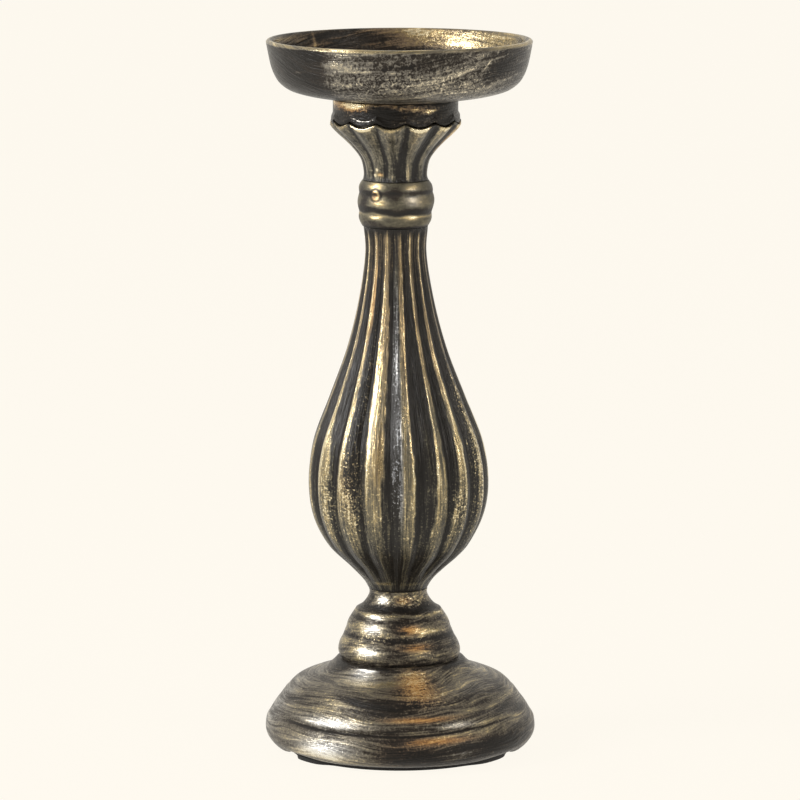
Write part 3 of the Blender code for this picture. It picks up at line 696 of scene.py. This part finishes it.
def column(finish):
    """The pear column, its rounded lobes each with a band of gold along the crest."""
    outline = smooth([(12.4, 0), (14.3, 3.2), (20.1, 9.4), (29.6, 18.8), (36, 31.2), (38.05, 45.2),
                      (36, 61.9), (28.6, 81.6), (21.2, 101.4), (15.9, 122), (12.85, 143.2),
                      (13.5, COLUMN_TOP)], 14)[::-1]

    def shape(radius, height, turn):
        ease = np.minimum(reached(height, 3, 10), reached(COLUMN_TOP - height, 0, 2.5))
        drift = wander(turn, height, 21, 0.01, waves=6, rise=0.02)
        phase = COLUMN_LOBES * (turn + drift - math.radians(COLUMN_FIRST)) / 2
        crease = COLUMN_CREASE * ease * (1 - np.abs(np.cos(phase)))
        swelling = 0.9 * dab(np.degrees(turn), COLUMN_FOOT + height, 85, 82, 35, 6)
        return radius * (1 - crease) + swelling, height

    def painter(radius, up, turn):
        index, phase = lobe_phase(turn + 0 * up, COLUMN_LOBES, COLUMN_FIRST)
        left, right, bright = gold_bands(index, up)
        high = reached(up, 185, 205)
        middle = (left + right) / 2
        half = (right - left) / 2 * (1 + 0.2 * band(up, 165, 32, 8) - 0.36 * high)
        ragged = wander(2.4 * index, up, 33, 0.013, waves=6, rise=0.8)
        half = half + wander(1.7 * index, up, 34, 0.012, waves=6, rise=0.8)
        inside = band(phase + ragged, middle, half, 0.015)
        # A painted highlight along one edge of each gold band
        lit = np.where(bright < 0, left, right)
        edge = peak(phase + ragged, lit - HIGHLIGHT_EDGE_WIDTH * np.sign(bright), HIGHLIGHT_EDGE_WIDTH)
        gold = 0.14 + 0.18 * high + (0.48 - 0.18 * high) * inside
        gold = gold + (0.3 + 0.2 * high) * edge * inside * np.abs(bright)
        gold = gold + 0.05 * wander(np.radians(turn), up, 31, 1, waves=9, rise=0.05)
        # Painted shade: darker along each crease between the lobes, over the black left there
        gold = gold - 0.14 * peak(np.abs(phase), 0.5, 0.06)
        # A grey strip down the left flank of the front lobe: silver paint with a painted sheen on it
        silver_and_sheen = band(phase, -0.28, 0.19, 0.02) * (index == 0) * band(up, 152, 48, 4)
        blots = dabs(
            turn, up, (1, -33, 118, 8, 18), (0.8, -54, 110, 7, 12), (1, 68, 132, 7, 34),
            (0.7, -30, 160, 5, 22), (0.7, 45, 108, 8, 10))
        gold = gold + (0.29 * silver_and_sheen + 0.08 * blots) * (1 - inside)
        # Painted highlights down the lobe at -16 and at -56, where the left lamp catches them
        gold = gold + dabs(turn, up, (0.08, -16, 165, 7, 30), (0.12, -56, 136, 6, 14))
        low = reached(up, 88, 124)
        gold = (0.2 + 0.17 * inside) * (1 - low) + gold * low
        gold = gold - 0.12 * peak(up, 82, 6) - 0.2 * peak(up, 69, 0.8)
        # Painted highlights on the foot band, on the left and the right
        gold = gold + dabs(turn, up, (0.42, -26, 72.5, 20, 0.7, 0.01), (0.26, 24, 72.3, 14, 0.6))
        top = reached(COLUMN_FOOT + COLUMN_TOP - up, 0, 4)
        mottle = 0.3 + 1.4 * blots + 0.25 * peak(up, 98, 20) + 0.3 * silver_and_sheen
        warm = dabs(turn, up, (0.4, -37, 196, 6, 16), (0.15, -33, 120, 8, 12), (0.2, -13, 130, 4, 12))
        warm = warm + 0.16 * reached(up, 140, 180) - silver_and_sheen
        return gold * top + 0.1 * (1 - top), warm, mottle

    inner = joint_below() + [(BORE, 12), (20, 22), (30, 36), (32, 46), (30, 60),
                             (20, 88), (12, 112), (BORE, 120)] + joint_above(COLUMN_TOP)
    turned("pear_column", outline, inner, COLUMN_FOOT, COLUMN_LOBES * LOBE_POINTS, finish, "fluted_column",
           shape, painter, spacing=0.8)


# The small ring in relief on the collar: its middle's turn in degrees and height above the table
RING_TURN = -33
RING_LEVEL = 236.5
RING_RADIUS = 1.5
COLLAR_RADIUS = 15.5


def ring_place(turn, up):
    """How far a place is across and up from the small ring's middle, in mm, by its turn in degrees."""
    return np.radians(turn - RING_TURN) * COLLAR_RADIUS, up - RING_LEVEL


def collar(finish):
    """The collar: three soft beads between the column and the capital."""
    outline = bead((13.9, COLLAR_TOP), (15.1, 13.6), 0.75) + bead((15.15, 13.5), (15.1, 5.7), 0.65)[1:]
    outline += bead((15.05, 5.6), (13.9, 0), 0.75)[1:]

    def shape(radius, height, turn):
        ease = reached(np.minimum(height, COLLAR_TOP - height), 0, 2)
        ring = 0.25 * peak(np.hypot(*ring_place(np.degrees(turn), COLLAR_FOOT + height)), RING_RADIUS, 0.5)
        uneven = wander(turn, height, 6, 0.14, rise=0.2)
        uneven = uneven + 0.7 * dab(np.degrees(turn), COLLAR_FOOT + height, 95, 234, 30, 4)
        return radius + uneven + ring, height + ease * wander(turn, height, 7, 0.3)

    def painter(radius, up, turn):
        gold = 0.42 + wander(np.radians(turn), up, 14, 0.06, waves=6, rise=0.3)
        low_groove = 229.4 + wander(np.radians(turn), 0, 24, 0.6, waves=12)
        high_groove = 237.2 + wander(np.radians(turn), 0, 25, 0.35)
        # Painted shade along the two grooves between the beads, wavering round the collar, and at the
        # collar's foot
        gold = gold - 0.36 * peak(up, low_groove, 1.3)
        gold = gold - 0.2 * peak(up, high_groove, 0.8) - 0.3 * peak(up, 222.8, 0.6)
        # A painted highlight along the lower bead, just under its groove
        gold = gold + 0.28 * peak(up, low_groove - 1.9, 0.6)
        # Painted highlights on the three beads, on the left and the right where the lamps catch them; the
        # patches below 0 deepen the painted shade at the upper groove's sides and darken the beads
        # elsewhere
        gold = gold + dabs(
            turn, up, (0.4, -34, 240.2, 18, 1.8), (0.32, 25, 239.6, 15, 1.7), (0.34, 32, 234, 20, 3),
            (0.48, -25, 233.4, 20, 2.6), (0.46, -33, 227.2, 15, 1.2), (0.4, 24, 227, 16, 1.5),
            (-0.2, -58, 233, 12, 3), (-0.16, 5, 240, 10, 2), (-0.26, -50, 237.4, 12, 1),
            (-0.26, 48, 237, 24, 1), (-0.12, 0, 236, 10, 4), (0.2, 150, 234, 30, 2))
        across, above = ring_place(turn, up)
        away = np.hypot(across, above)
        # A painted highlight on the ring's lit side, with a darker band round the ring
        lit_side = 0.5 + 0.5 * np.cos(np.arctan2(above, across) - 0.9)
        gold = gold + 0.48 * lit_side * peak(away, RING_RADIUS, 0.6) - 0.3 * peak(away, 2.6, 0.5)
        # The warm below 0 at 28 whitens the painted highlight on the right of the middle bead; the warm at
        # -34 tints the ring
        warm = dabs(turn, up, (-0.5, 28, 235, 14, 4), (0.5, -34, 236.3, 7, 2.2))
        return gold, warm, 0.5

    inner = joint_below() + joint_above(COLLAR_TOP)
    turned("bead_collar", outline, inner, COLLAR_FOOT, COLLAR_POINTS, finish, "ring_collar",
           shape, painter, spacing=0.4)


PETALS = 13
PETAL_FIRST = -3.8        # degrees from the front to a petal's middle
PETAL_CREASE = 0.07
LIP_DIP = 2
LIP_ROUNDING = 0.03
SEAT_RADIUS = 22.5
SEAT_DEPTH = 4
POCKET_RADIUS = 8
POCKET_FLOOR = 9.5

# Half the width of the dark over the creases in front, at the lip and at the foot, as shares of a petal
DARK_CREASES = {-2: (0.08, 0.12), -1: (0.01, 0.19), 0: (0.06, 0.34), 1: (0.18, 0.22), 2: (0.22, 0.3)}


def capital(finish):
    """The capital: petals that flare to a scalloped lip."""
    flare = smooth([(13.6, 0), (13.25, 2.4), (14.3, 8.2), (16.7, 12.1), (20.2, 16.2), (24.1, 20.3),
                    (26.5, 23.3), (27.3, CAPITAL_TOP - 0.7)])[::-1]
    lip = [(22.9, CAPITAL_TOP - 0.9), (25.6, CAPITAL_TOP - 0.9), (25.9, CAPITAL_TOP - 0.2),
           (26.3, CAPITAL_TOP), (26.9, CAPITAL_TOP), (27.25, CAPITAL_TOP - 0.3)]
    outline = lip + flare

    def shape(radius, height, turn):
        drift = wander(turn, height, 22, 0.016, rise=0.02)
        high = np.sqrt(np.cos(PETALS * (turn + drift - math.radians(PETAL_FIRST)) / 2) ** 2 + LIP_ROUNDING)
        share = reached(height, 0, CAPITAL_TOP)
        ease = reached(height, 0, 1.5) * (1 - 0.8 * share ** 8)
        outward = reached(radius, 13, 16) * (height < CAPITAL_TOP - 0.8)
        crease = PETAL_CREASE * ease * (1 - high) * np.maximum(outward, 0.7 * (radius < 16))
        return radius * (1 - crease), height - LIP_DIP * share ** 3 * high

    def painter(radius, up, turn):
        phase = lobe_phase(turn, PETALS, PETAL_FIRST)[1]
        crease = lobe_phase(turn, PETALS, PETAL_FIRST + 180 / PETALS)[0]
        share = reached(up, CAPITAL_FOOT, CAPITAL_FOOT + CAPITAL_TOP)
        random = np.random.default_rng(9)
        wide_top, wide_foot = random.uniform(0.05, 0.18, PETALS), random.uniform(0.12, 0.3, PETALS)
        for front, (top, foot) in DARK_CREASES.items():
            wide_top[front % PETALS], wide_foot[front % PETALS] = top, foot
        half = wide_foot[crease] + (wide_top[crease] - wide_foot[crease]) * share
        dark = band(np.abs(phase), 0.5, half, 0.02)
        gold = 0.44 + 0.08 * share - 0.36 * dark + wander(np.radians(turn), up, 15, 0.03, waves=7, rise=0.2)
        gold = gold - 0.2 * peak(up, CAPITAL_FOOT, 0.9)
        lip = peak(radius, 27, 0.5) * (share > 0.8) * (1 - 0.4 * dark)
        # Painted highlights on the lip's gold edge, at -31 and 21
        strength = 0.2 + dabs(turn, 0, (0.45, -31, 0, 13, 1), (0.36, 21, 0, 13, 1))
        gold = gold + strength * lip
        gold = gold + dabs(
            turn, up, (0.5, -30, 244.9, 5, 0.5), (0.4, -49, 246.4, 4, 0.4), (0.2, -10, 244.2, 6, 0.7),
            (0.22, 23, 246, 3, 3), (0.9, -42, 244.6, 4, 0.6), (0.8, -35, 247, 3, 0.6),
            (0.35, 84, 261, 12, 3.5), (0.3, 86, 255, 10, 2))
        warm = dabs(turn, up, (0.9, -28, 245, 5, 0.8), (0.9, 84, 259, 14, 6)) - 0.12 * (1 - lip)
        return gold, warm, 0.6

    seat = CAPITAL_TOP - SEAT_DEPTH
    inner = joint_below() + [(BORE, POCKET_FLOOR), (POCKET_RADIUS, POCKET_FLOOR), (POCKET_RADIUS, seat),
                             (SEAT_RADIUS, seat), (SEAT_RADIUS, CAPITAL_TOP - 3.2)]
    turned("petal_capital", outline, inner, CAPITAL_FOOT, PETALS * PETAL_POINTS, finish,
           "scalloped_capital", shape, painter, spacing=0.5)


DRUM_RADIUS = 26.1


def scallop(turn):
    """How near to the middle of a petal a turn in radians is, from 0 at a crease to 1."""
    return np.abs(np.cos(PETALS * (turn - math.radians(PETAL_FIRST)) / 2))


def skirt(turn):
    """The height of the skirt's upper edge: it follows the scallops and is level at the sides."""
    side = np.sin(turn) ** 4
    return (2.4 - 2 * scallop(turn)) * (1 - side) + 2 * side


def drum(finish):
    """The drum under the dish, over a black skirt whose lower edge dips into the scallops."""
    outline = [(DRUM_RADIUS - 0.4, DRUM_TOP), (DRUM_RADIUS - 0.1, DRUM_TOP - 0.15),
               (DRUM_RADIUS, DRUM_TOP - 0.5)]
    outline += [(DRUM_RADIUS, height) for height in np.arange(3.0, 0.3, -0.1)]
    outline += [(DRUM_RADIUS - 0.2, 0.05), (DRUM_RADIUS - 0.4, 0), (22.8, 0)]

    def shape(radius, height, turn):
        ledge = (0.5 + 0.3 * np.sin(turn) ** 4) * (radius > DRUM_RADIUS - 0.5)
        ledge = ledge / (1 + np.exp((height - skirt(turn)) / 0.3))
        return radius + ledge, height - 1.7 * scallop(turn) * (1 - reached(height, 0, 4))

    def painter(radius, up, turn):
        gold = wander(np.radians(turn), up, 16, 0.04, waves=7, rise=0.2) + 0.03
        # Gold patches, brightest from -72 to -12 on the left and at 17 and 34 on the right, where they are
        # also painted highlights
        gold = gold + dabs(
            turn, up, (0.55, -46, 274.3, 20, 3.1), (0.6, -42, 274.6, 14, 1.9), (0.62, -72, 274.6, 17, 2.8),
            (0.46, -12, 275.2, 14, 1), (0.62, 17, 273.4, 17, 1.4), (-0.26, -8, 271.6, 24, 2.2),
            (0.6, 34, 272.4, 9, 0.8, 0.05), (0.55, 120, 273.6, 24, 1.5), (0.55, -140, 273.6, 20, 1.5))
        # A painted highlight: a thin white line along the skirt's upper edge, on the left
        shine = peak(up - DRUM_FOOT, skirt(np.radians(turn)) - 0.2, 0.23) * band(turn, -31, 10.5, 1)
        gold = gold + 1.2 * shine
        warm = dabs(
            turn, up, (0.5, -66, 274, 18, 4), (0.6, -38, 272.2, 18, 1),
            (0.3, 0, 274, 40, 3)) * (1 - shine) - shine
        return gold, warm, 1 - shine

    inner = [(22.2, 0), (22.2, -3.6), (13.4, -3.6), (13.4, DRUM_TOP)]
    turned("neck_drum", outline, inner, DRUM_FOOT, PETALS * SKIRT_POINTS, finish, "dish_drum",
           shape, painter, spacing=0.4)


DISH_WALL = 2.8
DISH_RIM = 55.4
RIM_ROUNDING = 1.1
DISH_FLOOR = 3.1


def dish_sway(turn):
    """How far the strokes on the dish drop from the front to the left, and rise again to the right."""
    return -6.3 * np.sin(2 * (turn - math.radians(30)))


def dish(finish):
    """The dish, with a rounded rim and a flat floor for the candle."""
    top = DISH_TOP - RIM_ROUNDING
    outside = smooth([(28, 0), (34.6, 1), (41, 2.2), (46.4, 4), (50.2, 7), (52.4, 10.8),
                      (53.5, 14), (54.5, 18.6), (DISH_RIM, top)], 8)
    edge = []
    for step in range(1, 10):
        bend = math.pi * step / 10
        edge.append((DISH_RIM - DISH_WALL / 2 * (1 - math.cos(bend)), top + RIM_ROUNDING * math.sin(bend)))
    bowl = smooth([(DISH_RIM - DISH_WALL, top), (51.3, 18.6), (50, 14), (48.4, 11.2), (45.6, 7.6),
                   (42.8, 5), (40.4, 3.5), (38.4, DISH_FLOOR)], 6)
    seat = [(radius, DISH_FLOOR) for radius in (34, 28, 22, 16, 11, 8, 6.45)]
    outline = outside + edge + bowl + seat

    def painter(radius, up, turn):
        inside = np.arange(len(up))[:, None] > np.argmax(up[:, 0])
        uneven = wander(np.radians(turn), up, 17, 0.04, waves=7, rise=0.15)
        left = band(turn, -77, 42.5, 1.8)
        outer = 0.39 - 0.36 * left + uneven
        outer = outer + dabs(
            turn, up, (-0.11, 4, 293.4, 15, 2.2), (-0.3, 55, 294, 11, 6, 0.3), (-0.14, 25, 296, 8, 1.6),
            (0.22, -27, 293.6, 8, 2.4, 0.05), (0.4, -16, 291.3, 4.5, 0.4, 0.05),
            (0.34, -50, 289.7, 5, 0.4, 0.08), (0.1, 12, 285, 34, 3.5), (0.2, 30, 291, 14, 1.2, 0.22),
            (-0.2, 74, 290, 26, 12), (0.2, -25, 298, 12, 0.8), (0.42, 41.5, 293.2, 3, 0.5, 1.05),
            (-0.3, 140, 292, 26, 5), (0.25, 175, 290, 20, 3, 0.05))
        back = -turn % 360 - 180  # the turn from the back, growing to the right as seen from the front
        inner = 0.25 + uneven
        # Gold on the back of the bowl, brightest right of the middle, where it is also a painted highlight
        # of the left lamp
        inner = inner + dabs(
            back, up, (0.46, 26, 296, 25, 7), (0.4, 9, 297.8, 9, 2.6), (0.34, -4, 299.4, 16, 1),
            (0.36, 62, 297, 20, 7), (-0.55, 46, 296.4, 4.5, 0.3, 0.01), (0.5, -74, 298.6, 18, 1.4),
            (0.4, -44, 296, 0.9, 3, -0.8), (0.28, 170, 293, 60, 6))
        rim = np.exp(-((radius - 54.6) / 1.3) ** 4) * (up > DISH_FOOT + DISH_TOP - 1.3)
        gold = np.where(inside, inner, outer)
        # The rim's gold edge, brighter on the left as a painted highlight
        gold = np.maximum(gold, 0.62 * rim + dabs(turn, up, (0.16, -26, 300, 20, 2)) * rim)
        flecks = 1 - 0.8 * left + dabs(turn, up, (0.5, 5, 285.5, 45, 4))
        shiny = 0.35 + dabs(back, up, (0.8, 28, 296, 24, 8))
        mottle = np.where(inside, shiny, flecks) * (1 - rim)
        warm = np.where(inside, dabs(back, up, (0.3, -20, 296, 50, 8)), -0.3) * (1 - rim)
        return gold, warm, mottle

    hole = [(3.5, DISH_FLOOR - 3), (3.5, -3), (11, -3), (11, 0)]
    turned("pillar_dish", outline, hole, DISH_FOOT, DISH_POINTS, finish, "candle_dish",
           painter=painter, shift=DISH_SHIFT, sway=dish_sway, waver=2)


def screw(finish):
    """The countersunk dish screw with its hexagon socket."""
    seat = DISH_FOOT + DISH_FLOOR
    outline = [(0, -1.8), (2, -1.8), (2, -0.25), (2.2, 0), (5.8, 0), (6, -0.15), (3, -3),
               (3, -15.4), (2.4, -16), (0, -16)]

    def shape(radius, height, turn):
        flat = np.abs((np.degrees(turn) + 30) % 60 - 30)
        hexagon = np.where((radius > 0) & (radius < 2.1) & (height > -2), 1 / np.cos(np.radians(flat)), 1)
        return radius * hexagon, height

    turned("countersunk_screw", outline, [(0, -9)], seat, SCREW_POINTS, finish, "dish_screw",
           shape, shift=0, spacing=20)


def hardware(finish):
    """Gives the fasteners inside the stand their plating."""
    for node in ("tie_rod", "coupling_nut", "rod_washer", "base_washer", "lock_washer", "base_nut"):
        for holder in frame["nodes"][node].material_slots:
            holder.material = finish


def floor():
    """A wide pale floor. What looks straight at it sees the photograph's cream, with a soft shadow."""
    bpy.ops.mesh.primitive_plane_add(size=FLOOR_SIZE, location=(0, 0, 0))
    plane = bpy.context.object
    plane.name = "studio_floor"
    made = bpy.data.materials.new("pale floor")
    made.use_nodes = True
    tree = made.node_tree
    tree.nodes.clear()
    path = put(tree, "ShaderNodeLightPath")
    seen = maths(tree, "MAXIMUM", path.outputs["Is Camera Ray"], path.outputs["Is Glossy Ray"])
    seen = maths(tree, "MAXIMUM", seen, path.outputs["Is Transmission Ray"])
    lit = put(tree, "ShaderNodeBsdfDiffuse", {"Color": (*FLOOR, 1.0)}).outputs[0]
    glow = put(tree, "ShaderNodeEmission", {"Color": (*GROUND, 1.0), "Strength": 1.0}).outputs[0]
    shadowed = put(tree, "ShaderNodeBsdfDiffuse", {"Color": (*GROUND, 1.0)}).outputs[0]
    cream = mixed(tree, FLOOR_SHADE, glow, shadowed)
    put(tree, "ShaderNodeOutputMaterial", {"Surface": mixed(tree, seen, lit, cream)})
    plane.data.materials.append(made)


# How bright the cream is that the paint reflects, by direction: 0.25 is the left and 0.5 the front
REFLECTED = ((0.20, 1.0), (0.27, 0.75), (0.44, 0.65), (0.49, 0.16), (0.57, 0.14), (0.63, 0.45),
             (0.70, 0.45), (0.79, 0.9))


def world():
    """The studio: cream behind the stand, soft light all round it, and a dark front in its reflections."""
    made = bpy.data.worlds.new("studio")
    made.use_nodes = True
    tree = made.node_tree
    tree.nodes.clear()
    path = put(tree, "ShaderNodeLightPath")
    direction = put(tree, "ShaderNodeTexCoord").outputs["Generated"]
    parts = put(tree, "ShaderNodeSeparateXYZ", {0: direction})
    round_ = maths(tree, "ARCTAN2", parts.outputs["X"], maths(tree, "MULTIPLY", parts.outputs["Y"], -1.0))
    place = maths(tree, "MULTIPLY_ADD", round_, 0.5 / math.pi, 0.5)
    strength = ramp(tree, place, [(where, (bright,) * 3) for where, bright in REFLECTED])
    shine, seen, soft = (
        put(tree, "ShaderNodeBackground", {"Color": (*colour, 1.0), "Strength": level}).outputs[0]
        for colour, level in ((GROUND, strength), (GROUND, 1.0), (SOFT_WHITE, SOFT_LEVEL)))
    mirrored = maths(tree, "MAXIMUM", path.outputs["Is Glossy Ray"], path.outputs["Is Transmission Ray"])
    around = mixed(tree, path.outputs["Is Camera Ray"], mixed(tree, mirrored, soft, shine), seen)
    put(tree, "ShaderNodeOutputWorld", {"Surface": around})
    bpy.context.scene.world = made


def softbox(name, turn, distance, height, width, tall, power, colour):
    """An area lamp that faces the middle of the stand. Its turn is in degrees and its power in watts."""
    lamp = bpy.data.lights.new(name, "AREA")
    lamp.shape = "RECTANGLE"
    lamp.size = width
    lamp.size_y = tall
    lamp.energy = power
    lamp.color = colour
    holder = bpy.data.objects.new(name, lamp)
    angle = math.radians(turn)
    place = Vector((distance * math.sin(angle), -distance * math.cos(angle), height))
    holder.location = place
    holder.rotation_euler = (Vector((0, 0, AIM_HEIGHT)) - place).to_track_quat("-Z", "Y").to_euler()
    holder.visible_camera = False
    bpy.context.collection.objects.link(holder)


def camera():
    """The photograph's camera."""
    lens = bpy.data.cameras.new("camera")
    lens.lens = CAMERA_LENS
    lens.sensor_width = SENSOR_WIDTH
    holder = bpy.data.objects.new("camera", lens)
    holder.location = (0.0, -CAMERA_DISTANCE, CAMERA_HEIGHT)
    holder.rotation_euler = (math.pi / 2 - CAMERA_DOWN, 0.0, 0.0)
    bpy.context.collection.objects.link(holder)
    bpy.context.scene.camera = holder


def main():
    """Builds and dresses the stand, and sets up the studio."""
    bpy.context.scene.view_settings.view_transform = "Standard"
    round_paint = brushed_paint("gold brushed round", stroke=(75, 720), sponge_scale=600,
                                weights=(0.80, 0.9, 0.3, 0.2), coats=(CHARCOAL, TAUPE), sharpness=1.25,
                                relief=0.0008, gloss=0.22, satin=0.18)
    soft_paint = brushed_paint("gold wiped round", stroke=(60, 350), sponge_scale=350,
                               weights=(0.4, 0.4, 0.1, 0.05), coats=(CHARCOAL, OLIVE), sharpness=1.2,
                               relief=0.0006, gloss=0.32, satin=0.31)
    dish_paint = brushed_paint("gold sponged on", stroke=(75, 600), sponge_scale=560,
                               weights=(0.68, 1.15, 0.15, 0.05), coats=(CHARCOAL, TAUPE), sharpness=1.2,
                               relief=0.0008, gloss=0.22, satin=0.15)
    upright_paint = brushed_paint("gold brushed along the lobes", stroke=(800, 60), sponge_scale=620,
                                  weights=(0.7, 0.9, 0.2, 0.3), coats=(SLATE, OLIVE), sharpness=1.4,
                                  relief=0.0005, gloss=0.32, satin=0.15)
    petal_paint = brushed_paint("gold brushed up the petals", stroke=(350, 120), sponge_scale=350,
                                weights=(0.5, 1.0, 0.3, 0.1), coats=(SLATE, OLIVE), sharpness=1.3,
                                relief=0.0006, gloss=0.32, satin=0.18)
    steel = zinc_steel()
    pad(foam_rubber())
    bell(round_paint)
    riser(round_paint)
    column(upright_paint)
    collar(soft_paint)
    capital(petal_paint)
    drum(dish_paint)
    dish(dish_paint)
    screw(steel)
    hardware(steel)
    floor()
    world()
    softbox("left softbox", turn=-66, distance=1.4, height=0.85, width=0.60, tall=0.75, power=20.0,
            colour=(1.0, 0.99, 0.98))
    softbox("right softbox", turn=54, distance=1.5, height=0.75, width=0.30, tall=0.50, power=6.0,
            colour=(1.0, 0.93, 0.84))
    camera()


main()
